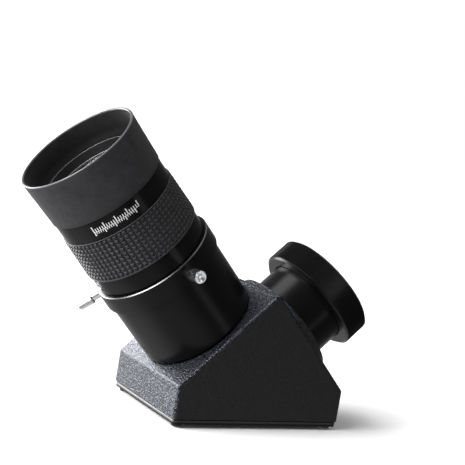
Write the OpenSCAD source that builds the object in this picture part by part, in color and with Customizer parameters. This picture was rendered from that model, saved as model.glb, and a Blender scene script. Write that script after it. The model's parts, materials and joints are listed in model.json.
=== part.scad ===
// Star diagonal for a telescope's two-inch rear port, with its two-inch wide-field eyepiece.
//
// A flat mirror on the floor of a cast prism-shaped housing folds the telescope's light through
// ninety degrees. Both optical axes lie in the plane y = 0 at 45 degrees to the cover plate and
// meet on the mirror's face: the telescope side points to +X +Z, the eyepiece side to -X +Z.
// The origin is the centre of the coupling ring's open mouth, where the telescope's port enters.
// Lengths along an optical axis are measured from the housing's slanted face.

/* [Housing] */
// Length of the housing along its cover plate, mm
housing_len = 92; // [80:0.5:110]
// Width across the two side faces, mm
housing_w = 66; // [60:0.5:80]
// Height of the upright end walls, mm
shoulder_h = 15.7; // [12:0.1:22]
// Wall thickness of the casting, mm
wall = 3.5; // [2.5:0.1:6]
// Radius of the casting's outside edges, mm
edge_r = 1.6; // [0.8:0.1:3]
// Radius of the round boss under the telescope-side neck, mm
boss_r = 28.7; // [26:0.1:30]
// Height of that boss, mm
boss_h = 3.8; // [2:0.1:6]

/* [Cover and mirror] */
// Height of the mirror's face above the cover joint, mm
mirror_z = 15.3; // [12:0.1:18]
// Thickness of the mirror glass, mm
mirror_t = 6; // [4:0.5:8]
// Length of the mirror along the housing, mm
mirror_len = 68; // [60:1:76]
// Width of the mirror across the housing, mm
mirror_w = 46; // [42:1:50]
// Thickness of the cover plate, mm
cover_t = 2.2; // [1.5:0.1:4]
// Distance of the cover plate's edge inside the housing's, mm
cover_inset = 0.5; // [0:0.1:2]
// Thickness of the gasket between the housing and the cover plate, mm
gasket_t = 0.4; // [0.2:0.1:1]
// Distance of the cover screws from the end walls, mm
screw_inset_x = 4.4; // [4:0.1:8]
// Distance of the cover screws from the side faces, mm
screw_inset_y = 4.6; // [4:0.1:8]

/* [Eyepiece holder] */
// Outside radius of the holder tube, mm
holder_r = 28.8; // [28:0.1:31]
// Outside radius of the collar that carries the thumbscrews, mm
collar_r = 30.25; // [29:0.05:33]
// Length of the tube from the slanted face to the collar, mm
collar_start = 34; // [20:0.5:50]
// Length of the tube from the slanted face to the rim, mm
holder_len = 43.9; // [30:0.1:60]
// Radius of the bore that takes a two-inch barrel, mm
holder_bore_r = 25.46; // [25.42:0.01:25.5]
// Distance of the thumbscrews from the slanted face, mm
clamp_at = 39.5; // [36:0.1:42]
// Direction of the first thumbscrew round the tube, degrees
clamp_az_1 = -87; // [-180:1:180]
// Direction of the second thumbscrew round the tube, degrees
clamp_az_2 = 153; // [-180:1:180]

/* [Telescope side] */
// Outside radius of the neck that the coupling ring turns on, mm
neck_r = 22.65; // [22:0.05:24]
// Radius of the clear light path through the neck, mm
neck_bore_r = 20.5; // [18:0.1:21.5]
// Distance of the coupling ring's near face from the slanted face, mm
ring_start = 21; // [15:0.5:30]
// Length of the coupling ring, mm
ring_len = 14; // [10:0.5:20]
// Radius over the coupling ring's knurling, mm
ring_r = 28.85; // [28:0.05:32]
// Radius of the coupling ring's threaded wall, mm
thread_r = 25.1; // [24.9:0.05:25.4]
// Number of knurled ribs round the coupling ring
ring_ribs = 200; // [60:4:240]

/* [Eyepiece] */
// Radius of the two-inch barrel, mm
barrel_r = 25.4; // [25.3:0.01:25.4]
// Distance from the slanted face to the barrel's open end when it is seated, mm
barrel_end = 12; // [11:0.5:20]
// Radius of the eyepiece's lower body, mm
base_r = 28.5; // [27:0.1:30]
// Radius of the band that carries the markings, mm
band_r = 28.15; // [27:0.05:30]
// Radius over the grip's studs at its lower end, mm
grip_low_r = 29.4; // [28:0.1:32]
// Radius over the grip's studs at its upper end, mm
grip_high_r = 28.9; // [28:0.1:32]
// Number of rows of studs along the grip
grip_rows = 9; // [6:1:14]
// Radius of the rubber eyecup at its foot, mm
cup_low_r = 28.6; // [27:0.1:31]
// Radius of the rubber eyecup at its rim, mm
cup_high_r = 29.3; // [27:0.1:33]
// Distance from the slanted face to the eyecup's rim, mm
cup_rim_at = 108.4; // [100:0.1:120]

/* [Hidden] */

$fn = 96;
half_len = housing_len / 2;
half_w = housing_w / 2;
apex_h = shoulder_h + half_len;
face_d = (apex_h - mirror_z) / sqrt(2);
mouth = (face_d + ring_start + ring_len) / sqrt(2);
origin_shift = [-mouth, 0, -mirror_z - mouth];

platform_h = 6.3;
pad_t = mirror_z - mirror_t - platform_h;
screw_x = half_len - screw_inset_x;
screw_y = half_w - screw_inset_y;
groove_low = clamp_at - 2.4;
groove_high = clamp_at + 2.4;
shoulder_at = holder_len + 0.05;
grip_low_at = 53;
grip_high_at = 74.6;
band_top = 84.15;

black = [0.05, 0.05, 0.055];
paint = [0.22, 0.22, 0.24];
rubber = [0.10, 0.10, 0.11];
chrome = [0.75, 0.76, 0.78];
glass = [0.55, 0.65, 0.70, 0.4];

// The row's frame: the housing stands on z = 0 in the working frame before this shift.
module placed() translate(origin_shift) children();

// z runs out along the eyepiece axis from the slanted face, x towards the telescope side.
module eye_axis()
    placed() translate([0, 0, mirror_z]) rotate([0, -45, 0]) translate([0, 0, face_d]) children();

// z runs out along the telescope axis from the slanted face.
module scope_axis()
    placed() translate([0, 0, mirror_z]) rotate([0, 45, 0]) translate([0, 0, face_d]) children();

// z runs outwards along a thumbscrew at the given direction round the holder.
module clamp_axis(az)
    eye_axis() rotate([0, 0, az]) translate([0, 0, clamp_at]) rotate([0, 90, 0]) children();

module turned(points) rotate_extrude() polygon(points);

module tube(r_out, r_in, low, high)
    turned([[r_in, low], [r_out, low], [r_out, high], [r_in, high]]);

// A straight-knurled outline: ribs of the given depth inside radius r.
function knurl(r, depth, ribs) =
    [for (i = [0:2 * ribs - 1])
        let (a = 180 * i / ribs, q = i % 2 == 0 ? r : r - depth) [q * cos(a), q * sin(a)]];

module at_cover_screws()
    for (sx = [-1, 1], sy = [-1, 1]) translate([sx * screw_x, sy * screw_y, 0]) children();

// ---- housing ----

module housing_outside() {
    hx = half_len - edge_r;
    hy = half_w - edge_r;
    hull()
        for (sy = [-1, 1]) {
            for (sx = [-1, 1]) {
                translate([sx * hx, sy * hy, 0])
                    cylinder(r = edge_r, h = shoulder_h - 0.414 * edge_r, $fn = 32);
                translate([sx * hx, sy * hy, shoulder_h - 0.414 * edge_r])
                    sphere(r = edge_r, $fn = 32);
            }
            translate([0, sy * hy, apex_h - 1.414 * edge_r]) sphere(r = edge_r, $fn = 32);
        }
}

module housing_inside() {
    hx = half_len - wall;
    top = apex_h - wall * sqrt(2);
    translate([0, half_w - wall, 0]) rotate([90, 0, 0])
        linear_extrude(housing_w - 2 * wall)
            polygon([[-hx, -1], [hx, -1], [hx, top - hx], [0, top], [-hx, top - hx]]);
}

module housing() color(paint) {
    difference() {
        union() {
            placed() difference() {
                housing_outside();
                housing_inside();
            }
            placed() at_cover_screws() cylinder(r = 3.6, h = 12, $fn = 48);
            eye_axis() tube(31, 25, -6.5, -1);
            scope_axis() tube(26.5, 22, -6.5, -1);
            scope_axis() tube(boss_r, 22, -1, boss_h);
            scope_axis() tube(26, 22, boss_h - 0.5, boss_h + 1.3);
        }
        eye_axis() translate([0, 0, -9]) cylinder(r = 26.2, h = 19);
        scope_axis() translate([0, 0, -9]) cylinder(r = neck_r + 0.05, h = 19);
        placed() at_cover_screws() translate([0, 0, -1]) cylinder(r = 1.5, h = 10.5, $fn = 32);
    }
}

module rounded_plate(len, wid, t, r)
    linear_extrude(t) {
        square([len - 2 * r, wid], center = true);
        square([len, wid - 2 * r], center = true);
        for (sx = [-1, 1], sy = [-1, 1])
            translate([sx * (len / 2 - r), sy * (wid / 2 - r)]) circle(r = r, $fn = 48);
    }

module gasket() color([0.04, 0.04, 0.04])
    placed() translate([0, 0, -gasket_t]) difference() {
        rounded_plate(housing_len - 2, housing_w - 2, gasket_t, edge_r);
        translate([0, 0, -1])
            linear_extrude(gasket_t + 2) square([housing_len - 17, housing_w - 14], center = true);
        at_cover_screws() translate([0, 0, -1]) cylinder(r = 1.7, h = gasket_t + 2, $fn = 32);
    }

module cover() color(black)
    placed() difference() {
        union() {
            translate([0, 0, -gasket_t - cover_t])
                rounded_plate(housing_len - 2 * cover_inset, housing_w - 2 * cover_inset, cover_t, edge_r);
            translate([0, 0, -gasket_t - 0.5]) linear_extrude(platform_h + gasket_t + 0.5)
                square([mirror_len + 6, mirror_w], center = true);
        }
        at_cover_screws()
            translate([0, 0, -gasket_t - cover_t - 1]) cylinder(r = 1.7, h = 10, $fn = 32);
    }

// An M3 pan-head screw seen from below: its head stands under the plate.
module cover_screw(sx, sy) color([0.12, 0.12, 0.13])
    placed() translate([sx * screw_x, sy * screw_y, -gasket_t - cover_t]) difference() {
        turned([[0, -1.8], [2, -1.8], [2.5, -1.5], [2.75, -1], [2.75, 0], [1.45, 0],
                [1.45, 10], [1.1, 10.6], [0, 10.6]]);
        for (a = [0, 90]) rotate([0, 0, a]) translate([-1.5, -0.4, -2.8]) cube([3, 0.8, 1.9]);
    }

module cover_screw_1() cover_screw(-1, -1);
module cover_screw_2() cover_screw(1, -1);
module cover_screw_3() cover_screw(1, 1);
module cover_screw_4() cover_screw(-1, 1);

// ---- mirror ----

// The mirror's outline with its corners cut off, made smaller all round by trim.
module mirror_outline(trim) {
    l = mirror_len / 2 - trim;
    w = mirror_w / 2 - trim;
    c = 8;
    polygon([[l - c, w], [l, w - c], [l, c - w], [l - c, -w],
             [c - l, -w], [-l, c - w], [-l, w - c], [c - l, w]]);
}

module mirror_pad() color([0.35, 0.26, 0.18])
    placed() translate([0, 0, platform_h]) linear_extrude(pad_t) mirror_outline(3);

module mirror() color([0.85, 0.88, 0.9])
    placed() translate([0, 0, mirror_z - mirror_t]) linear_extrude(mirror_t) mirror_outline(0);

// A sheet-steel clip that stands on the cover's platform and hooks over the mirror's edge.
module mirror_clip(side) color([0.55, 0.56, 0.58])
    placed() translate([side * (mirror_len / 2 + 0.2), 5, 0]) rotate([90, 0, 0])
        linear_extrude(10)
            polygon([for (p = [[0, platform_h], [2.4, platform_h], [2.4, platform_h + 0.8],
                               [0.8, platform_h + 0.8], [0.8, mirror_z + 0.9],
                               [-2.4, mirror_z + 0.9], [-2.4, mirror_z + 0.1], [0, mirror_z + 0.1]])
                [side * p[0], p[1]]]);

module mirror_clip_left() mirror_clip(-1);
module mirror_clip_right() mirror_clip(1);

// ---- eyepiece holder and its clamp ----

module eyepiece_holder() color(black)
    difference() {
        eye_axis() turned([
            [23, -6], [26.15, -6], [26.15, 0], [holder_r - 1.2, 0], [holder_r, 1.2],
            [holder_r, collar_start], [collar_r - 0.3, collar_start],
            [collar_r, collar_start + 0.3], [collar_r, holder_len - 0.4],
            [collar_r - 0.4, holder_len], [holder_bore_r + 0.6, holder_len],
            [holder_bore_r, holder_len - 0.6], [holder_bore_r, groove_high],
            [27.4, groove_high], [27.4, groove_low], [holder_bore_r, groove_low],
            [holder_bore_r, 10], [23, 10]]);
        clamp_axis(clamp_az_1) translate([0, 0, 20]) cylinder(r = 2, h = 14, $fn = 48);
        clamp_axis(clamp_az_2) translate([0, 0, 20]) cylinder(r = 2, h = 14, $fn = 48);
    }

// A split brass ring that spreads the thumbscrews' pressure round the barrel.
module compression_ring() color([0.78, 0.6, 0.25])
    eye_axis() difference() {
        tube(27.1, 25.6, groove_low + 0.15, groove_high - 0.15);
        rotate([0, 0, (clamp_az_1 + clamp_az_2) / 2]) translate([20, -1.2, groove_low - 1])
            cube([12, 2.4, 8]);
    }

// The screw's soft swivel pad: a disc with a short stem that turns in the screw's end.
module screw_pad(az) color([0.9, 0.9, 0.86])
    clamp_axis(az)
        rotate_extrude($fn = 48) polygon([[0, 27.15], [1.85, 27.15], [1.85, 28.1], [0.7, 28.1],
                                          [0.7, 29.1], [0, 29.1]]);

module thumbscrew(az) color(chrome)
    clamp_axis(az) {
        rotate_extrude($fn = 48)
            polygon([[0.8, 28.2], [1.93, 28.2], [1.93, 34.7], [2.4, 34.7], [2.7, 35],
                     [2.7, 42.4], [2.4, 42.7], [2.0, 42.7], [0.7, 41.5], [0, 41.5],
                     [0, 29.2], [0.8, 29.2]]);
        translate([0, 0, 35.3]) difference() {
            linear_extrude(6.8) polygon(knurl(3, 0.22, 24));
            translate([0, 0, -1]) cylinder(r = 2.3, h = 9, $fn = 48);
        }
    }

module thumbscrew_1() thumbscrew(clamp_az_1);
module screw_pad_1() screw_pad(clamp_az_1);
module thumbscrew_2() thumbscrew(clamp_az_2);
module screw_pad_2() screw_pad(clamp_az_2);

// ---- telescope side ----

// The neck screws into the boss; its end flange keeps the coupling ring on.
module scope_neck() color(black)
    scope_axis() turned([
        [neck_bore_r, -5], [neck_r, -5], [neck_r, ring_start + 3.3], [24.5, ring_start + 3.3],
        [24.5, ring_start + 5.6], [24.1, ring_start + 6], [neck_bore_r + 0.5, ring_start + 6],
        [neck_bore_r, ring_start + 5.5]]);

module coupling_ring() color([0.1, 0.1, 0.11])
    scope_axis() translate([0, 0, ring_start]) difference() {
        union() {
            turned([[0, 0], [ring_r - 1.4, 0], [ring_r - 0.6, 0.8], [ring_r - 0.6, ring_len - 0.8],
                    [ring_r - 1.4, ring_len], [0, ring_len]]);
            translate([0, 0, 1]) linear_extrude(ring_len - 2)
                polygon(knurl(ring_r, 0.42, ring_ribs));
        }
        translate([0, 0, -1]) cylinder(r = neck_r + 0.4, h = 5);
        translate([0, 0, 3]) cylinder(r = thread_r + 0.8, h = 3.4);
        translate([0, 0, 5]) cylinder(r = thread_r, h = ring_len);
    }

// ---- eyepiece ----

module barrel() color(chrome)
    eye_axis() turned([
        [24, barrel_end], [barrel_r - 0.5, barrel_end], [barrel_r, barrel_end + 0.5],
        [barrel_r, shoulder_at], [24.6, shoulder_at], [24.6, 50], [23, 50], [23, 43], [24, 43]]);

module field_stop() color(black)
    eye_axis() turned([[18, 41.6], [23.95, 41.6], [23.95, 42.9], [19.3, 42.9]]);

module eyepiece_base() color(black)
    eye_axis() turned([
        [24.65, shoulder_at], [base_r - 0.4, shoulder_at], [base_r, shoulder_at + 0.4],
        [base_r, 52.7], [base_r - 0.2, 52.9], [26.2, 52.9], [26.2, 60], [23.2, 60],
        [23.2, 50.2], [24.65, 50.2]]);

module eyepiece_shell() color(black)
    eye_axis() turned([
        [26.25, 52.95], [27.6, 52.95], [27.6, grip_high_at + 0.05], [band_r - 0.3, grip_high_at + 0.05],
        [band_r, grip_high_at + 0.35], [band_r, band_top - 0.2], [band_r - 0.2, band_top],
        [26.6, band_top], [26.6, 95.6], [24.55, 95.6], [24.55, 92.2], [22.9, 92.2], [22.9, 61.5],
        [20.5, 61.5], [20.5, 60.05], [26.25, 60.05]]);

// Doublets: each flint is hollowed to the crown's curve.
module field_flint() color(glass)
    eye_axis() difference() {
        translate([0, 0, 61.6]) cylinder(r = 22.6, h = 7.6);
        translate([0, 0, 63.6 + 48]) sphere(r = 48);
    }

module field_crown() color(glass)
    eye_axis() intersection() {
        translate([0, 0, 60]) cylinder(r = 22.6, h = 20);
        translate([0, 0, 63.65 + 48]) sphere(r = 48);
        translate([0, 0, 75.9 - 60]) sphere(r = 60);
    }

module lens_spacer() color(black)
    eye_axis() tube(22.8, 21.4, 72.2, 80.4);

module eye_flint() color(glass)
    eye_axis() difference() {
        translate([0, 0, 80.5]) cylinder(r = 22.4, h = 7.7);
        translate([0, 0, 82.9 + 48]) sphere(r = 48);
    }

module eye_crown() color(glass)
    eye_axis() intersection() {
        translate([0, 0, 80]) cylinder(r = 22.4, h = 20);
        translate([0, 0, 82.95 + 48]) sphere(r = 48);
        translate([0, 0, 95.95 - 60]) sphere(r = 60);
    }

module eye_retainer() color(black)
    eye_axis() turned([[20.6, 92.4], [24.5, 92.4], [24.5, 96.8], [22.75, 96.8], [20.8, 92.9],
                       [20.6, 92.7]]);

// Radius over the grip's studs at distance z along the eyepiece axis.
function stud_tip(z) =
    grip_low_r + (grip_high_r - grip_low_r) * (z - grip_low_at) / (grip_high_at - grip_low_at);

// The grip's rows of studs, as rings here, on a sleeve that tapers to the eye end.
module grip_sleeve() color(rubber) {
    pitch = (grip_high_at - grip_low_at) / grip_rows;
    rings = [for (i = [0:grip_rows - 1], k = [0, 1])
        let (z = grip_low_at + (i + k / 2) * pitch) [stud_tip(z) - (k == 0 ? 0.9 : 0), z]];
    eye_axis() turned(concat([[27.65, grip_low_at]], rings,
        [[stud_tip(grip_high_at) - 0.9, grip_high_at], [27.65, grip_high_at]]));
}

// The rubber eyecup grips the shell's upper end and stands up round the eye lens.
module eyecup() color(rubber)
    eye_axis() turned([
        [26.65, band_top + 0.05], [cup_low_r - 0.3, band_top + 0.05], [cup_low_r, band_top + 0.35],
        [cup_high_r, cup_rim_at - 0.7], [cup_high_r - 0.5, cup_rim_at],
        [cup_high_r - 1.3, cup_rim_at], [cup_high_r - 1.8, cup_rim_at - 0.6],
        [27.1, 97.2], [26.65, 96.4]]);

// ---- nodes ----

housing();
gasket();
cover();
cover_screw_1();
cover_screw_2();
cover_screw_3();
cover_screw_4();
mirror_pad();
mirror();
mirror_clip_left();
mirror_clip_right();
eyepiece_holder();
compression_ring();
thumbscrew_1();
screw_pad_1();
thumbscrew_2();
screw_pad_2();
scope_neck();
coupling_ring();
barrel();
field_stop();
eyepiece_base();
eyepiece_shell();
field_flint();
field_crown();
lens_spacer();
eye_flint();
eye_crown();
eye_retainer();
grip_sleeve();
eyecup();
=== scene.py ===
"""Looks of a star diagonal and its eyepiece: materials, soft parts, detail, light and camera."""
import json
import math

import bpy  # noqa: E402
from mathutils import Matrix, Vector  # noqa: E402


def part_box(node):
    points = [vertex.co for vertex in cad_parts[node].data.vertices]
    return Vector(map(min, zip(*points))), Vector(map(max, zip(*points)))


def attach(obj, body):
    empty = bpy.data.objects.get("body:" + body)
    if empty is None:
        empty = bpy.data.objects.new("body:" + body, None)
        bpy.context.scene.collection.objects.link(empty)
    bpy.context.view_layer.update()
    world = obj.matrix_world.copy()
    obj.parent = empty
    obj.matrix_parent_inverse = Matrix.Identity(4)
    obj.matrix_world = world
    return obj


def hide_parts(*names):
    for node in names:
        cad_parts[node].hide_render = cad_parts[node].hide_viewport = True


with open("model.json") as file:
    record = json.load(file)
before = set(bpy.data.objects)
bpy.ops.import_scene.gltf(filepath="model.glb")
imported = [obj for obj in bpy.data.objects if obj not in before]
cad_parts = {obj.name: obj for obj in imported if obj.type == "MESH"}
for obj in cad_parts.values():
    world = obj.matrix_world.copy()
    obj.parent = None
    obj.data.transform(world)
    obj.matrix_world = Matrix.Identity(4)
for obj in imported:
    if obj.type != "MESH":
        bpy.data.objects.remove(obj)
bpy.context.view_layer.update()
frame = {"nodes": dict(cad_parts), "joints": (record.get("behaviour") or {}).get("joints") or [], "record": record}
nodes = frame["nodes"]
scene = bpy.context.scene
joints = {joint["name"]: joint for joint in frame["joints"]}

MM = 0.001

# ---------------------------------------------------------------- axes of the part

UP = Vector((0, 0, 1))
EYE = Vector(joints["eyepiece_slide"]["axis"]).normalized()
SCOPE = Vector(joints["coupling_ring_spin"]["axis"]).normalized()
SIDE = Vector((0, 1, 0))


def span(node, direction):
    """Lowest and highest place of a CAD node along a direction."""
    along = [vertex.co.dot(direction) for vertex in nodes[node].data.vertices]
    return min(along), max(along)


def middle(low_high):
    """The place halfway along a span."""
    return (low_high[0] + low_high[1]) / 2


def place(x_axis, y_axis, z_axis, origin):
    """The matrix of a local frame with these axes."""
    matrix = Matrix((x_axis, y_axis, z_axis)).transposed().to_4x4()
    matrix.translation = origin
    return matrix


# Both local frames have z out along their optical axis, measured in the row frame.
eye_frame = place(SCOPE, SIDE, EYE, SCOPE * middle(span("eyepiece_base", SCOPE)))
scope_frame = place(-EYE, SIDE, SCOPE, EYE * middle(span("coupling_ring", EYE)))


def reach(node, local):
    """Smallest and largest radius of a CAD node about a local frame's z axis."""
    back = local.inverted()
    radii = [(back @ vertex.co).to_2d().length for vertex in nodes[node].data.vertices]
    return min(radii), max(radii)


# ---------------------------------------------------------------- mesh helpers

def new_piece(name, verts, faces, local, sharp=35):
    """A mesh object from points in a local frame, smooth but for edges over the sharp angle."""
    mesh = bpy.data.meshes.new(name)
    mesh.from_pydata([local @ Vector(vert) for vert in verts], [], faces)
    mesh.validate()
    mesh.shade_smooth()
    mesh.set_sharp_from_angle(angle=math.radians(sharp))
    piece = bpy.data.objects.new(name, mesh)
    scene.collection.objects.link(piece)
    return piece


def on_circle(radius, angle, z):
    """A point at a radius and angle about the local z axis."""
    return (radius * math.cos(angle), radius * math.sin(angle), z)


def grid_faces(rows, columns):
    """Quads of a rows by columns grid of points that closes on itself both ways."""
    faces = []
    for row in range(rows):
        here, above = row * columns, (row + 1) % rows * columns
        for column in range(columns):
            after = (column + 1) % columns
            faces.append((here + column, here + after, above + after, above + column))
    return faces


LATHE_STEPS = 192


def lathe(name, profile, local, sharp=35):
    """A turned ring: the closed profile of (radius, height) swept round the z axis."""
    verts = [on_circle(radius, 2 * math.pi * step / LATHE_STEPS, z)
             for radius, z in profile for step in range(LATHE_STEPS)]
    faces = grid_faces(len(profile), LATHE_STEPS)
    return new_piece(name, verts, faces, local, sharp)


def arc(centre, radius, start, end, steps):
    """Points on a circular arc in a profile, angles in degrees from the radius direction."""
    points = []
    for step in range(steps + 1):
        angle = math.radians(start + (end - start) * step / steps)
        points.append((centre[0] + radius * math.cos(angle), centre[1] + radius * math.sin(angle)))
    return points


def finish_piece(piece, body, slot, material, *replaced):
    """Hangs a piece on its body and gives it its finish."""
    piece.data.materials.append(material)
    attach(piece, body)
    if replaced:
        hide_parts(*replaced)
    return piece


# ---------------------------------------------------------------- material helpers

# A Mix node has one set of sockets for each data type; these are the ones for colours.
MIX_FIRST, MIX_SECOND, MIX_RESULT = 6, 7, 2
BEVEL_SAMPLES = 4
EDGE_START, EDGE_FULL = 0.98, 0.80   # cosine between true and bevelled normals


class Finish:
    """A Principled material built from procedural nodes in the part's own coordinates."""

    def __init__(self, name, **settings):
        self.material = bpy.data.materials.new(name)
        self.material.use_nodes = True
        self.tree = self.material.node_tree
        self.shader = self.tree.nodes["Principled BSDF"]
        self.coordinates = self.add("ShaderNodeTexCoord").outputs["Object"]
        self.height = None
        for socket, value in settings.items():
            self.shader.inputs[socket.replace("_", " ")].default_value = value

    def add(self, kind, **values):
        """A new node of a kind, with these settings."""
        node = self.tree.nodes.new(kind)
        for key, value in values.items():
            setattr(node, key, value)
        return node

    def link(self, output, node, socket):
        """Feeds an output into a node's input socket."""
        self.tree.links.new(output, node.inputs[socket])

    def noise(self, size, detail=2.0, roughness=0.5, stretch=None):
        """Noise from 0 to 1 with features of about this size in metres."""
        node = self.add("ShaderNodeTexNoise")
        node.inputs["Scale"].default_value = 1 / size
        node.inputs["Detail"].default_value = detail
        node.inputs["Roughness"].default_value = roughness
        source = self.coordinates if stretch is None else self.stretched(stretch)
        self.link(source, node, "Vector")
        return node.outputs["Fac"]

    def cells(self, size):
        """Distance to the nearest cell centre, for cells of this size in metres."""
        node = self.add("ShaderNodeTexVoronoi")
        node.inputs["Scale"].default_value = 1 / size
        self.link(self.coordinates, node, "Vector")
        return node.outputs["Distance"]

    def along(self, axis):
        """The place along an axis, in metres."""
        dot = self.add("ShaderNodeVectorMath", operation="DOT_PRODUCT")
        self.link(self.coordinates, dot, 0)
        dot.inputs[1].default_value = axis
        return dot.outputs["Value"]

    def stretched(self, axis):
        """Coordinates squeezed to the place along one axis, so noise becomes rings round it."""
        joined = self.add("ShaderNodeCombineXYZ")
        self.link(self.along(axis), joined, "X")
        return joined.outputs["Vector"]

    def band(self, factor, low, high, soft):
        """1 between low and high, fading to 0 over a soft width below low and below high."""
        node = self.add("ShaderNodeMath", operation="MULTIPLY")
        self.link(self.range_between(factor, low - soft, low), node, 0)
        self.link(self.range_between(factor, high, high - soft), node, 1)
        return node.outputs["Value"]

    def ramp(self, factor, *stops):
        """A colour ramp of (position, colour or grey) stops."""
        node = self.add("ShaderNodeValToRGB")
        elements = node.color_ramp.elements
        while len(elements) < len(stops):
            elements.new(0.5)
        for element, (position, value) in zip(elements, stops):
            element.position = position
            element.color = (value, value, value, 1) if isinstance(value, float) else (*value, 1)
        self.link(factor, node, "Fac")
        return node.outputs["Color"]

    def mix(self, factor, first, second):
        """Blends from a colour output to a second one, or to a plain colour."""
        node = self.add("ShaderNodeMix", data_type="RGBA")
        self.link(factor, node, "Factor")
        self.link(first, node, MIX_FIRST)
        if isinstance(second, tuple):
            node.inputs[MIX_SECOND].default_value = (*second, 1)
        else:
            self.link(second, node, MIX_SECOND)
        return node.outputs[MIX_RESULT]

    def range(self, factor, low, high):
        """Maps 0 to 1 on to low to high."""
        node = self.add("ShaderNodeMapRange")
        node.inputs["To Min"].default_value = low
        node.inputs["To Max"].default_value = high
        self.link(factor, node, "Value")
        return node.outputs["Result"]

    def edges(self, radius):
        """1 on edges and 0 on open faces, from how far a bevel turns the normal."""
        bevel = self.add("ShaderNodeBevel", samples=BEVEL_SAMPLES)
        bevel.inputs["Radius"].default_value = radius
        geometry = self.add("ShaderNodeNewGeometry")
        dot = self.add("ShaderNodeVectorMath", operation="DOT_PRODUCT")
        self.link(bevel.outputs["Normal"], dot, 0)
        self.link(geometry.outputs["Normal"], dot, 1)
        return self.range_between(dot.outputs["Value"], EDGE_START, EDGE_FULL)

    def facing(self, axis, cosine, spread):
        """1 where the surface leans towards an axis by the angle with this cosine, such as on a
        chamfer, and 0 where the cosine is off by more than the spread."""
        geometry = self.add("ShaderNodeNewGeometry")
        dot = self.add("ShaderNodeVectorMath", operation="DOT_PRODUCT")
        self.link(geometry.outputs["True Normal"], dot, 0)
        dot.inputs[1].default_value = axis
        off = self.add("ShaderNodeMath", operation="SUBTRACT")
        self.link(dot.outputs["Value"], off, 0)
        off.inputs[1].default_value = cosine
        away = self.add("ShaderNodeMath", operation="ABSOLUTE")
        self.link(off.outputs["Value"], away, 0)
        return self.range_between(away.outputs["Value"], spread, spread * 0.6)

    def range_between(self, factor, start, end):
        """0 at start and 1 at end, held outside."""
        node = self.add("ShaderNodeMapRange")
        node.inputs["From Min"].default_value = start
        node.inputs["From Max"].default_value = end
        self.link(factor, node, "Value")
        return node.outputs["Result"]

    def soften(self, radius):
        """Rounds the look of edges too small to be modelled."""
        bevel = self.add("ShaderNodeBevel", samples=BEVEL_SAMPLES)
        bevel.inputs["Radius"].default_value = radius
        self.height = bevel.outputs["Normal"]

    def bump(self, factor, depth, strength=1.0):
        """Relief of this depth in metres; later calls lie on top of earlier ones."""
        node = self.add("ShaderNodeBump")
        node.inputs["Distance"].default_value = depth
        node.inputs["Strength"].default_value = strength
        self.link(factor, node, "Height")
        if self.height is not None:
            self.link(self.height, node, "Normal")
        self.height = node.outputs["Normal"]

    def done(self, colour=None, roughness=None):
        """Joins up the shader and gives the material."""
        if colour is not None:
            self.link(colour, self.shader, "Base Color")
        if roughness is not None:
            self.link(roughness, self.shader, "Roughness")
        if self.height is not None:
            self.link(self.height, self.shader, "Normal")
        return self.material


# ---------------------------------------------------------------- materials

COVER_TOP = span("gasket", UP)[0]
WORN_LOW, WORN_HIGH = COVER_TOP - 1.15 * MM, COVER_TOP - 0.10 * MM   # rubbed strip on the cover


def casting_paint():
    """Dark wrinkle-finish paint on a casting: fine glossy grains with dark pits between. The two
    upright sides get a flatter, plainer copy of the grain colour, painted to look as the grain does
    in their dim, even light."""
    finish = Finish("casting_paint", Metallic=0.7, Specular_IOR_Level=0.3)
    grain = finish.noise(0.66 * MM, detail=1)
    tone = finish.ramp(grain, (0.42, (0.005, 0.005, 0.005)), (0.60, (0.077, 0.083, 0.104)))
    # Painted flat light: a lower-contrast copy of the grain colour for the two upright sides, standing in for how
    # the grain looks in their dim, even light.
    painted_flat_light_tone = finish.ramp(grain, (0.35, (0.028, 0.028, 0.028)), (0.65, (0.046, 0.046, 0.047)))
    for cosine in (1.0, -1.0):
        tone = finish.mix(finish.facing(SIDE, cosine, 0.05), tone, painted_flat_light_tone)
    finish.bump(grain, 0.36 * MM, 1.0)
    return finish.done(tone, finish.range(grain, 0.42, 0.18))


CHAMFER = math.cos(math.radians(45))   # between a turned chamfer and its axis


def satin_black(name, axis, roughness=0.26, chamfer=0.45, specular=0.17):
    """Bead-blasted black anodising with faint turning marks round its axis, and chamfers that
    were cut bright after it."""
    finish = Finish(name, Specular_IOR_Level=specular)
    marks = finish.noise(0.35 * MM, detail=2, stretch=axis)
    blast = finish.noise(0.18 * MM, detail=2)
    cloud = finish.noise(14 * MM, detail=3)
    black = finish.ramp(cloud, (0.3, (0.0032, 0.0032, 0.0034)), (0.7, (0.0048, 0.0048, 0.0050)))
    cut = finish.facing(axis, CHAMFER, 0.10)
    tone = finish.mix(cut, black, (chamfer, chamfer, chamfer * 1.02))
    finish.link(cut, finish.shader, "Metallic")
    finish.soften(0.15 * MM)
    finish.bump(marks, 0.004 * MM, 0.5)
    finish.bump(blast, 0.006 * MM, 0.5)
    return finish.done(tone, finish.range(blast, roughness - 0.05, roughness + 0.05))


def gloss_black():
    """Polished black anodising, with faint turning marks and smears."""
    finish = Finish("gloss_anodised", Specular_IOR_Level=0.1)
    marks = finish.noise(0.5 * MM, detail=2, stretch=EYE)
    smear = finish.noise(9 * MM, detail=4)
    black = finish.ramp(smear, (0.3, 0.006), (0.75, 0.010))
    finish.soften(0.15 * MM)
    finish.bump(marks, 0.003 * MM, 0.4)
    return finish.done(black, finish.range(smear, 0.10, 0.20))


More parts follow.
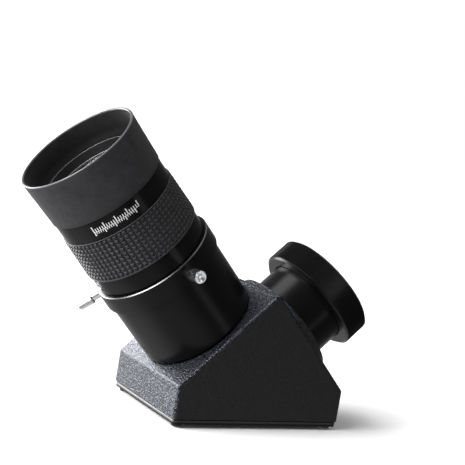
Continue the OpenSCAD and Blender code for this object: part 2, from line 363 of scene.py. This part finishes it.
def plate_paint():
    """Satin black paint on the cover plate, worn to a bright line along its upper edge."""
    finish = Finish("cover_paint", Specular_IOR_Level=0.1)
    peel = finish.noise(0.5 * MM, detail=2)
    black = finish.ramp(peel, (0.35, 0.006), (0.7, 0.011))
    worn = finish.band(finish.along(UP), WORN_LOW, WORN_HIGH, 0.10 * MM)
    finish.link(worn, finish.shader, "Metallic")
    finish.soften(1.1 * MM)
    finish.bump(peel, 0.02 * MM, 0.4)
    tone = finish.mix(worn, black, (0.10, 0.10, 0.10))
    return finish.done(tone, finish.range(peel, 0.22, 0.30))


def black_oxide():
    """Oiled black-oxide steel screws, rubbed a little bright on their edges."""
    finish = Finish("black_screws", Metallic=0.6, Specular_IOR_Level=0.5)
    cloud = finish.noise(1.5 * MM, detail=3)
    black = finish.ramp(cloud, (0.3, 0.02), (0.7, 0.05))
    worn = finish.mix(finish.edges(0.15 * MM), black, (0.16, 0.16, 0.17))
    finish.soften(0.12 * MM)
    return finish.done(worn, finish.range(cloud, 0.30, 0.45))


def rubber(name, tone, roughness, grain_size, grain_depth, specular=0.12):
    """Moulded rubber with a fine matt grain and a faint cloudy unevenness in its tone."""
    finish = Finish(name, Specular_IOR_Level=specular, Sheen_Weight=0.03, Sheen_Roughness=0.4)
    grain = finish.noise(grain_size, detail=3)
    cloud = finish.noise(6 * MM, detail=6, roughness=0.75)
    warm = finish.ramp(cloud, (0.3, (tone * 0.74, tone * 0.74, tone * 0.78)),
                       (0.7, (tone * 1.26, tone * 1.26, tone * 1.36)))
    finish.bump(grain, grain_depth, 0.6)
    return finish.done(warm, finish.range(grain, roughness - 0.06, roughness + 0.06))


def polished_metal(name, colour, roughness, axis):
    """Bright plated or bare metal with fine turning scratches."""
    finish = Finish(name, Metallic=1.0)
    scratch = finish.noise(0.12 * MM, detail=2, stretch=axis)
    cloud = finish.noise(2.5 * MM, detail=3)
    tint = finish.ramp(cloud, (0.25, tuple(0.88 * c for c in colour)), (0.75, colour))
    finish.soften(0.12 * MM)
    finish.bump(scratch, 0.003 * MM, 0.4)
    return finish.done(tint, finish.range(cloud, roughness * 0.7, roughness * 1.4))


def mirror_coat():
    """Front-silvered glass with a trace of dust."""
    finish = Finish("mirror", Metallic=1.0, Base_Color=(0.9, 0.92, 0.94, 1))
    dust = finish.noise(0.4 * MM, detail=4)
    return finish.done(None, finish.ramp(dust, (0.60, 0.02), (0.80, 0.16)))


def cork_pad():
    """Cork granules bound in rubber."""
    finish = Finish("mirror_pad", Roughness=0.9)
    lumps = finish.cells(0.9 * MM)
    brown = finish.ramp(lumps, (0.1, (0.33, 0.20, 0.11)), (0.6, (0.12, 0.07, 0.04)))
    finish.bump(lumps, 0.1 * MM, 0.5)
    return finish.done(brown)


def nylon():
    """Natural nylon, slightly cloudy."""
    finish = Finish("nylon", Subsurface_Weight=0.2, Subsurface_Scale=0.002)
    cloud = finish.noise(1.0 * MM, detail=2)
    return finish.done(finish.ramp(cloud, (0.3, (0.72, 0.72, 0.68)), (0.7, (0.82, 0.82, 0.78))),
                       finish.range(cloud, 0.38, 0.5))


def coated_glass():
    """Lens glass with a faint green and violet bloom from its coating."""
    finish = Finish("lens_glass", Transmission_Weight=1.0, IOR=1.52, Roughness=0.0,
                    Coat_Weight=0.2, Coat_Roughness=0.02, Coat_Tint=(0.88, 0.96, 0.92, 1))
    bloom = finish.noise(30 * MM, detail=1)
    tint = finish.ramp(bloom, (0.3, (0.86, 0.89, 0.88)), (0.7, (0.87, 0.87, 0.90)))
    return finish.done(tint)


def white_ink():
    """White marking ink, a little uneven."""
    finish = Finish("white_ink", Roughness=0.5)
    cloud = finish.noise(0.25 * MM, detail=2)
    return finish.done(finish.ramp(cloud, (0.3, 0.80), (0.6, 0.94)))


MATERIALS = {
    "casting_paint": casting_paint(),
    "cover_paint": plate_paint(),
    "black_screws": black_oxide(),
    # Painted shade: the gasket is given a near-black tone so that its thin line between housing and cover also
    # stands for the shadow in the gap there.
    "gasket": rubber("gasket", 0.003, 0.90, 0.3 * MM, 0.02 * MM),
    "mirror_pad": cork_pad(),
    "mirror": mirror_coat(),
    "spring_steel": polished_metal("spring_steel", (0.60, 0.61, 0.63), 0.28, SIDE),
    "eye_anodised": satin_black("black_anodised", EYE),
    "holder_anodised": satin_black("black_anodised_holder", EYE, chamfer=0.20),
    "retainer_anodised": satin_black("black_anodised_retainer", EYE, roughness=0.60,
                                     chamfer=0.22, specular=0.08),
    "inner_anodised": satin_black("black_anodised_inner", EYE, roughness=0.32, chamfer=0.02),
    "scope_anodised": satin_black("black_anodised_neck", SCOPE, chamfer=0.25),
    "gloss_anodised": gloss_black(),
    "brass": polished_metal("brass", (0.78, 0.58, 0.26), 0.22, EYE),
    "thumbscrew_chrome": polished_metal("thumbscrew_chrome", (0.80, 0.81, 0.83), 0.20, SIDE),
    "barrel_chrome": polished_metal("barrel_chrome", (0.82, 0.83, 0.85), 0.12, EYE),
    "nylon": nylon(),
    "lens_glass": coated_glass(),
    "grip_rubber": rubber("grip_rubber", 0.050, 0.38, 0.25 * MM, 0.012 * MM),
    "cup_rubber": rubber("cup_rubber", 0.044, 0.50, 0.22 * MM, 0.016 * MM),
    # Painted shade: the inside of the cup is the same rubber, given a darker tone for the shade that falls in it.
    "cup_inside_painted_shade": rubber("cup_inside_painted_shade", 0.016, 0.60, 0.22 * MM, 0.016 * MM),
    # Partly painted highlight: the lip is a glossier moulded bead, and its lighter tone than the rest of the cup
    # stands in for the highlight along it.
    "cup_lip_gloss_and_painted_highlight": rubber("cup_lip_gloss_and_painted_highlight", 0.060, 0.24, 0.22 * MM, 0.004 * MM, specular=0.6),
    "white_ink": white_ink(),
}
# The record has one slot for black anodising; the looks tell its turned parts from its inside.
ANODISED = {"scope_neck": "scope_anodised", "coupling_ring": "scope_anodised",
            "eyepiece_holder": "holder_anodised", "eyepiece_shell": "eye_anodised"}
SLOT_OF = {row["node"]: row["material_slot"] for row in frame["record"]["subparts"]}
for name, node in nodes.items():
    slot = SLOT_OF[name]
    if slot == "black_anodised":
        slot = ANODISED.get(name, "inner_anodised")
    node.data.materials.clear()
    node.data.materials.append(MATERIALS[slot])

# The barrel is blackened inside against stray light, up to this radius.
BARREL_SKIN = 24.7 * MM
nodes["barrel"].data.materials.append(MATERIALS["inner_anodised"])
for face in nodes["barrel"].data.polygons:
    face.material_index = int((eye_frame.inverted() @ face.center).to_2d().length < BARREL_SKIN)

# ---------------------------------------------------------------- rubber grip

STUD_ROWS = 9
STUD_COLUMNS = 72
STUD_GAP = 0.14       # share of a stud's pitch that is groove
STUD_FLAT = 0.40      # share of a stud's pitch that is its flat top
STUD_HEIGHT = 0.80 * MM
RIM_DEPTH = 0.12 * STUD_HEIGHT   # how far the plain rims lie below the studs' tops
GRIP_LOW_RIM = 1.0 * MM
GRIP_HIGH_RIM = 0.4 * MM
GRIP_TAPER = 0.5 * MM


def tip_radius(z, low, high, radius):
    """The grip narrows towards the eye end."""
    return radius - GRIP_TAPER * (z - low) / (high - low)


def stud_fold(row, column):
    """Which diagonal folds a stud's corner: 1 from its lower left, 2 from its lower right, 0
    where there is no corner."""
    rising = {0: 1, 2: -1}
    up, across = rising.get(row % 4, 0), rising.get(column % 4, 0)
    if not up or not across:
        return 0
    return 1 if up == across else 2


def studded_grip():
    """A sleeve of small square studs with flat tops, between two plain rims."""
    low, high = span("grip_sleeve", EYE)
    inner, outer = reach("grip_sleeve", eye_frame)
    pitch = (high - low - GRIP_LOW_RIM - GRIP_HIGH_RIM) / STUD_ROWS
    edge, flat = STUD_GAP / 2, (1 - STUD_FLAT) / 2
    steps = [(edge, 0), (flat, 1), (1 - flat, 1), (1 - edge, 0)]
    levels = [(low + GRIP_LOW_RIM + (row + at) * pitch, up)
              for row in range(STUD_ROWS) for at, up in steps]
    turns = [((column + at) * 2 * math.pi / STUD_COLUMNS, up)
             for column in range(STUD_COLUMNS) for at, up in steps]
    around = len(turns)

    def ring(z, drop):
        """A plain ring of points, this far below the studs' tops."""
        return [on_circle(tip_radius(z, low, high, outer) - drop, turn, z) for turn, _ in turns]

    verts = [on_circle(inner, turn, low) for turn, _ in turns]
    verts += ring(low, 0.35 * MM) + ring(low + 0.2 * MM, RIM_DEPTH)
    verts += ring(low + GRIP_LOW_RIM - 0.35 * MM, RIM_DEPTH)
    verts += ring(low + GRIP_LOW_RIM, STUD_HEIGHT)
    first_stud_ring = len(verts) // around
    for z, up in levels:
        tip = tip_radius(z, low, high, outer)
        verts += [on_circle(tip - (0 if up and high_here else STUD_HEIGHT), turn, z)
                  for turn, high_here in turns]
    last_stud_ring = len(verts) // around - 1
    verts += ring(high - GRIP_HIGH_RIM, STUD_HEIGHT) + ring(high - GRIP_HIGH_RIM * 0.6, RIM_DEPTH)
    verts += ring(high - 0.1 * MM, RIM_DEPTH) + ring(high, 0.3 * MM)
    verts += [on_circle(inner, turn, high) for turn, _ in turns]

    faces = []
    for quad in grid_faces(len(verts) // around, around):
        row, column = divmod(quad[0], around)
        a, b, c, d = quad
        studded = first_stud_ring <= row < last_stud_ring
        fold = stud_fold(row - first_stud_ring, column) if studded else 0
        if fold == 1:
            faces += [(a, b, c), (a, c, d)]
        elif fold == 2:
            faces += [(b, c, d), (b, d, a)]
        else:
            faces.append(quad)
    return new_piece("studded_grip", verts, faces, eye_frame, sharp=20)


finish_piece(studded_grip(), "eyepiece", "grip_rubber", MATERIALS["grip_rubber"], "grip_sleeve")

# ---------------------------------------------------------------- rubber eyecup

CUP_FLARE = 0.7 * MM       # how much narrower the foot is than the lip
CUP_CURVE = 1.15           # above 1 the flare grows towards the lip
CUP_STEPS = 12             # along the flared wall
CUP_FOOT_EDGE = 0.3 * MM
LIP_RADIUS = 0.62 * MM
LIP_DEPTH = 2.6 * MM       # where the inside leaves the lip
CUP_WALL = 1.95 * MM       # thickness under the lip
CUP_SEAT = 12.2 * MM       # height of the part that grips the eyepiece
CUP_OUTSIDE, CUP_INSIDE, CUP_LIP = 0, 1, 2   # material slots


def eyecup():
    """A soft cup: a stretched foot, a gently flared wall and a rounded, beaded lip."""
    low, high = span("eyecup", EYE)
    inner, outer = reach("eyecup", eye_frame)
    foot, first = outer - CUP_FLARE, low + CUP_FOOT_EDGE
    rise = high - low - 1.6 * MM
    outside = [(foot - 0.25 * MM, low), (foot, first)]
    shares = [step / CUP_STEPS for step in range(1, CUP_STEPS)]
    outside += [(foot + CUP_FLARE * share ** CUP_CURVE, first + rise * share) for share in shares]
    rim = arc((outer - LIP_RADIUS, high - LIP_RADIUS), LIP_RADIUS, 0, 180, 14)
    inside = [(outer - CUP_WALL, high - LIP_DEPTH), (inner + 0.62 * MM, low + CUP_SEAT + 3.3 * MM),
              (inner + 0.45 * MM, low + CUP_SEAT + 0.8 * MM), (inner, low + CUP_SEAT),
              (inner, low + 4 * MM), (inner, low)]
    cup = lathe("rubber_eyecup", outside + rim + inside, eye_frame, sharp=40)
    first_lip, first_inside = len(outside), len(outside) + len(rim) - 1
    for face in cup.data.polygons:
        row = face.index // LATHE_STEPS
        face.material_index = (CUP_INSIDE if row >= first_inside
                               else CUP_LIP if row >= first_lip else CUP_OUTSIDE)
    return cup


cup_piece = finish_piece(eyecup(), "eyepiece", "cup_rubber", MATERIALS["cup_rubber"], "eyecup")
# The inside's darker tone is painted shade.
cup_piece.data.materials.append(MATERIALS["cup_inside_painted_shade"])
# The lip's lighter tone is partly a painted highlight; its gloss is the bead's own.
cup_piece.data.materials.append(MATERIALS["cup_lip_gloss_and_painted_highlight"])

# ---------------------------------------------------------------- ring round the eye lens

CONE_TOP = 22.75 * MM      # radius of the retainer's cone at its rim
SEAT_EDGE = 0.3 * MM       # height of the plain edge that holds the lens
BRIGHT_LINE = 0.08 * MM    # chamfer at the rim
SEAT_POLISH = 0.20 * MM    # chamfer above the lens


def lens_ring():
    """The retainer's deep cone, with a thin bright line at its rim and a polished lens seat."""
    low, high = span("eye_retainer", EYE)
    seat, outer = reach("eye_retainer", eye_frame)
    edge = low + SEAT_EDGE
    profile = [(seat, low), (outer, low), (outer, high), (CONE_TOP, high),
               (CONE_TOP - BRIGHT_LINE, high - BRIGHT_LINE),
               (seat + SEAT_POLISH, edge + SEAT_POLISH), (seat, edge)]
    return lathe("lens_ring", profile, eye_frame)


finish_piece(lens_ring(), "eyepiece", "black_anodised", MATERIALS["retainer_anodised"],
             "eye_retainer")

# ---------------------------------------------------------------- index marks on the band

MARK_START = -46      # degrees round the band from the side that faces -Y
MARK_PITCH = 2.4      # degrees between the main scale's strokes
MARK_COUNT = 21
VERNIER_SHARE = 0.9   # pitch of the lower scale over that of the upper one
MARK_GROUP = 5        # every fifth stroke is a long one
LONG_WIDTH, SHORT_WIDTH = 0.52 * MM, 0.42 * MM
BASE_LINE = 5.2 * MM  # below the eyecup's foot
BASE_WIDTH = 0.2 * MM
INK_HEIGHT = 0.03 * MM
FACES_MINUS_Y = -90   # degrees in the eyepiece's frame


def band_marks():
    """Two plain graduated scales in white ink, back to back on a line, like a vernier."""
    radius = reach("eyepiece_shell", eye_frame)[1] + INK_HEIGHT
    line = span("eyecup", EYE)[0] - BASE_LINE
    first_mark = math.radians(FACES_MINUS_Y + MARK_START)
    verts, faces = [], []

    def patch(start, end, z_low, z_high):
        """A thin patch of ink round the band from one angle to another."""
        cuts = max(1, round(math.degrees(end - start) / 3))
        first = len(verts)
        for cut in range(cuts + 1):
            turn = start + (end - start) * cut / cuts
            verts.extend(on_circle(radius, turn, z) for z in (z_low, z_high))
        for cut in range(first, first + 2 * cuts, 2):
            faces.append((cut, cut + 2, cut + 3, cut + 1))

    def scale(pitch, short, long):
        """Strokes up from the line, or down from it where the lengths are below zero."""
        for mark in range(MARK_COUNT):
            turn = first_mark + math.radians(mark * pitch)
            length, width = (short, SHORT_WIDTH) if mark % MARK_GROUP else (long, LONG_WIDTH)
            half = width / 2 / radius
            patch(turn - half, turn + half, line + min(0, length), line + max(0, length))

    scale(MARK_PITCH, 1.7 * MM, 3.0 * MM)
    scale(MARK_PITCH * VERNIER_SHARE, -1.1 * MM, -1.9 * MM)
    patch(first_mark, first_mark + math.radians(MARK_PITCH) * (MARK_COUNT - 1),
          line - BASE_WIDTH / 2, line + BASE_WIDTH / 2)
    return new_piece("band_marks", verts, faces, eye_frame)


finish_piece(band_marks(), "eyepiece", "nylon", MATERIALS["white_ink"])

# ---------------------------------------------------------------- thread in the coupling ring

THREAD_PITCH = 25.4 / 24 * MM   # 24 threads an inch
THREAD_WALL = 25.1 * MM         # radius of the ring's threaded wall
THREAD_RUN = (7.2 * MM, 0.9 * MM)   # clear of the ring's inner and outer end by this much
THREAD_ROOT, THREAD_CREST = -0.12 * MM, 0.45 * MM   # rise from the wall
ROOT_HALF, CREST_HALF = 0.36 * MM, 0.06 * MM        # half widths along the axis
THREAD_STEPS = 96               # in a turn
THREAD_FADE = 20                # steps over which each end runs out
CORNERS = 4                     # of the ridge's section


def ring_thread():
    """The two-inch internal thread as a helical ridge on the ring's threaded wall."""
    start, end = span("coupling_ring", SCOPE)
    low, high = start + THREAD_RUN[0], end - THREAD_RUN[1]
    count = int((high - low) / THREAD_PITCH * THREAD_STEPS)
    verts, faces = [], []
    for step in range(count + 1):
        turn = 2 * math.pi * step / THREAD_STEPS
        z = low + THREAD_PITCH * step / THREAD_STEPS
        crest = THREAD_CREST * min(1, step / THREAD_FADE, (count - step) / THREAD_FADE)
        for rise, across in ((THREAD_ROOT, -ROOT_HALF), (crest, -CREST_HALF),
                             (crest, CREST_HALF), (THREAD_ROOT, ROOT_HALF)):
            verts.append(on_circle(THREAD_WALL - rise, turn, z + across))
    for step in range(count):
        here, after = CORNERS * step, CORNERS * (step + 1)
        for corner in range(CORNERS):
            beside = (corner + 1) % CORNERS
            faces.append((here + corner, after + corner, after + beside, here + beside))
    faces += [(3, 2, 1, 0), tuple(CORNERS * count + corner for corner in range(CORNERS))]
    return new_piece("ring_thread", verts, faces, scope_frame, sharp=25)


finish_piece(ring_thread(), "coupling_ring", "black_anodised", MATERIALS["scope_anodised"])

# ---------------------------------------------------------------- camera

CAMERA_AT = Vector((-0.36255, -0.50470, 0.08195))
CAMERA_BACK = Vector((-0.5113, -0.8532, 0.1029)).normalized()
CAMERA_UP = Vector((-0.0923, 0.1736, 0.9805))   # the picture is turned a little
CAMERA_LENS, CAMERA_SENSOR = 94.2, 36           # millimetres

camera = bpy.data.objects.new("camera", bpy.data.cameras.new("camera"))
scene.collection.objects.link(camera)
scene.camera = camera
camera_right = CAMERA_UP.cross(CAMERA_BACK).normalized()
camera.matrix_world = place(camera_right, CAMERA_BACK.cross(camera_right), CAMERA_BACK, CAMERA_AT)
camera.data.lens = CAMERA_LENS
camera.data.sensor_width = CAMERA_SENSOR
camera.data.clip_start = 0.02

# ---------------------------------------------------------------- studio

FLOOR_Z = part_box("cover_screw_1")[0].z
FLOOR_REACH = 6.0
LAMP_TO = Vector((-0.091, -0.005, -0.045))   # left half of the slanted face
LAMP_AT = LAMP_TO + 0.16 * Vector((-0.22, 0.87, 0.45))
LAMP_SIZE = 0.08
LAMP_POWER = 0.07
LAMP_SPREAD = math.radians(90)
AMBIENT = 0.12
BACKDROP = 1.0

# Soft patches of studio light: direction from the part, degrees off it where the light starts,
# degrees off it where the light is full, and strength.
STUDIO_LIGHTS = (
    ((-0.90, 0.05, 0.42), 36, 14, 8.0),     # key, over the eye end
    ((-0.90, 0.05, 0.42), 16, 8, 10.0),     # the key's bright middle
    ((-0.51, 0.84, 0.10), 24, 9, 11.5),     # mirrored in the housing's end face
    ((-0.42, 0.25, 0.87), 22, 8, 5.0),      # top light
    ((0.35, 0.25, 0.90), 45, 20, 0.40),     # broad fill from above
    ((0.26, -0.48, 0.84), 25, 10, 1.2),     # highlight along the tube from the scope side
    ((0.0, -0.98, -0.17), 18, 8, 0.7),      # side face, seen square on
    ((-0.82, -0.45, -0.34), 25, 10, 0.5),   # side face, seen from the scope side
    ((-0.10, 0.76, -0.64), 74, 42, 0.5),    # broad fill from behind and below
    ((0.0, -0.30, -0.95), 60, 30, 0.60),    # undersides of the thumbscrews and the eyepiece
    ((0.57, -0.82, -0.04), 8, 4, 1.3),      # end of the front thumbscrew
)


def floor():
    """A plain pale floor under the screw heads. It takes shadows but throws no light back up."""
    verts = [(x, y, FLOOR_Z) for x, y in ((-1, -1), (1, -1), (1, 1), (-1, 1))]
    verts = [(x * FLOOR_REACH, y * FLOOR_REACH, z) for x, y, z in verts]
    piece = new_piece("floor", verts, [(0, 1, 2, 3)], Matrix.Identity(4))
    finish = Finish("floor", Roughness=0.9, Specular_IOR_Level=0.2)
    cloud = finish.noise(0.25, detail=2)
    piece.data.materials.append(finish.done(finish.ramp(cloud, (0.2, 0.91), (0.8, 0.94))))
    piece.visible_diffuse = False
    piece.visible_glossy = False
    piece.visible_transmission = False
    piece.visible_shadow = False


def slope_lamp():
    """A small soft lamp behind the part, over the left half of the housing's slanted face."""
    lamp = bpy.data.objects.new("slope_lamp", bpy.data.lights.new("slope_lamp", "AREA"))
    lamp.data.size = LAMP_SIZE
    lamp.data.energy = LAMP_POWER
    lamp.data.spread = LAMP_SPREAD
    aim = (LAMP_AT - LAMP_TO).to_track_quat("Z", "Y").to_matrix().to_4x4()
    lamp.matrix_world = Matrix.Translation(LAMP_AT) @ aim
    lamp.visible_camera = False
    scene.collection.objects.link(lamp)


class Surroundings:
    """World light built up from soft patches, each brighter towards its own direction."""

    def __init__(self, level):
        self.world = bpy.data.worlds.new("studio")
        self.world.use_nodes = True
        self.tree = self.world.node_tree
        self.direction = self.tree.nodes.new("ShaderNodeTexCoord").outputs["Generated"]
        self.total = None
        self.level = level

    def patch(self, toward, outer, inner, strength):
        """Light that grows from nothing at outer degrees off a direction to full at inner."""
        dot = self.tree.nodes.new("ShaderNodeVectorMath")
        dot.operation = "DOT_PRODUCT"
        dot.inputs[1].default_value = Vector(toward).normalized()
        self.tree.links.new(self.direction, dot.inputs[0])
        fade = self.tree.nodes.new("ShaderNodeMapRange")
        fade.interpolation_type = "SMOOTHSTEP"
        fade.inputs["From Min"].default_value = math.cos(math.radians(outer))
        fade.inputs["From Max"].default_value = math.cos(math.radians(inner))
        fade.inputs["To Max"].default_value = strength
        self.tree.links.new(dot.outputs["Value"], fade.inputs["Value"])
        added = self.tree.nodes.new("ShaderNodeMath")
        self.tree.links.new(fade.outputs["Result"], added.inputs[0])
        if self.total is None:
            added.inputs[1].default_value = self.level
        else:
            self.tree.links.new(self.total, added.inputs[1])
        self.total = added.outputs["Value"]

    def done(self, backdrop):
        """Lights the scene; the backdrop behind the part is an even pale tone of its own."""
        seen = self.tree.nodes.new("ShaderNodeLightPath")
        choice = self.tree.nodes.new("ShaderNodeMix")
        self.tree.links.new(seen.outputs["Is Camera Ray"], choice.inputs["Factor"])
        self.tree.links.new(self.total, choice.inputs["A"])
        choice.inputs["B"].default_value = backdrop
        background = self.tree.nodes["Background"]
        self.tree.links.new(choice.outputs["Result"], background.inputs["Strength"])
        background.inputs["Color"].default_value = (1, 1, 1, 1)
        scene.world = self.world


floor()
slope_lamp()
surroundings = Surroundings(AMBIENT)
for light in STUDIO_LIGHTS:
    surroundings.patch(*light)
surroundings.done(BACKDROP)
scene.view_settings.view_transform = "Standard"
